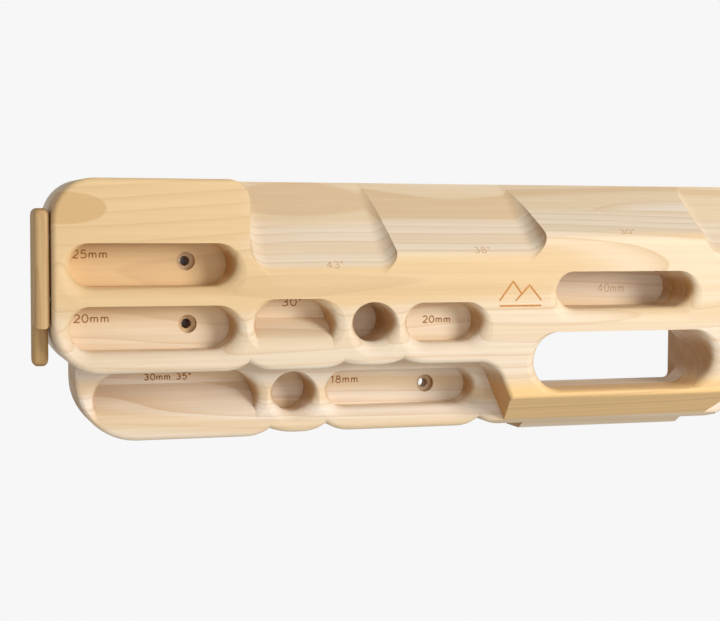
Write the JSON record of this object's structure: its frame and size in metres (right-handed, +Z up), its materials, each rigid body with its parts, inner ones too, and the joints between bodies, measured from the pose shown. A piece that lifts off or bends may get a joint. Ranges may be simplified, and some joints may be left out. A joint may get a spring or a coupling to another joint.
{
  "type": "climbing hangboard",
  "caption": "Wooden wall-mounted climbing hangboard with slopers, finger pockets, a central jug and magnetic depth reducers.",
  "frame": {"origin": "centre of the board's flat back face, where it lies against the wall", "axes": "+X along the board's length to the user's right, +Y into the wall, +Z up"},
  "size_m": [0.7394, 0.06, 0.158],
  "materials": {
    "front_wood": "satin",
    "rear_wood": "satin",
    "reducer_wood": "satin",
    "magnet": "polished"
  },
  "bodies": {
    "board": {"back_board": "rear_wood", "front_board": "front_wood", "end_magnet_left_upper": "magnet", "end_magnet_left_lower": "magnet", "end_magnet_right_upper": "magnet", "end_magnet_right_lower": "magnet"},
    "reducer_left": {"depth_reducer_left": "reducer_wood", "reducer_magnet_left_upper": "magnet", "reducer_magnet_left_lower": "magnet"},
    "reducer_right": {"depth_reducer_right": "reducer_wood", "reducer_magnet_right_upper": "magnet", "reducer_magnet_right_lower": "magnet"}
  },
  "joints": [
    {"name": "reducer_left_lift", "type": "slide", "parent": "board", "child": "reducer_left", "axis": [-1, 0, 0], "range_m": [0, 0.06]},
    {"name": "reducer_right_lift", "type": "slide", "parent": "board", "child": "reducer_right", "axis": [1, 0, 0], "range_m": [0, 0.06]}
  ]
}
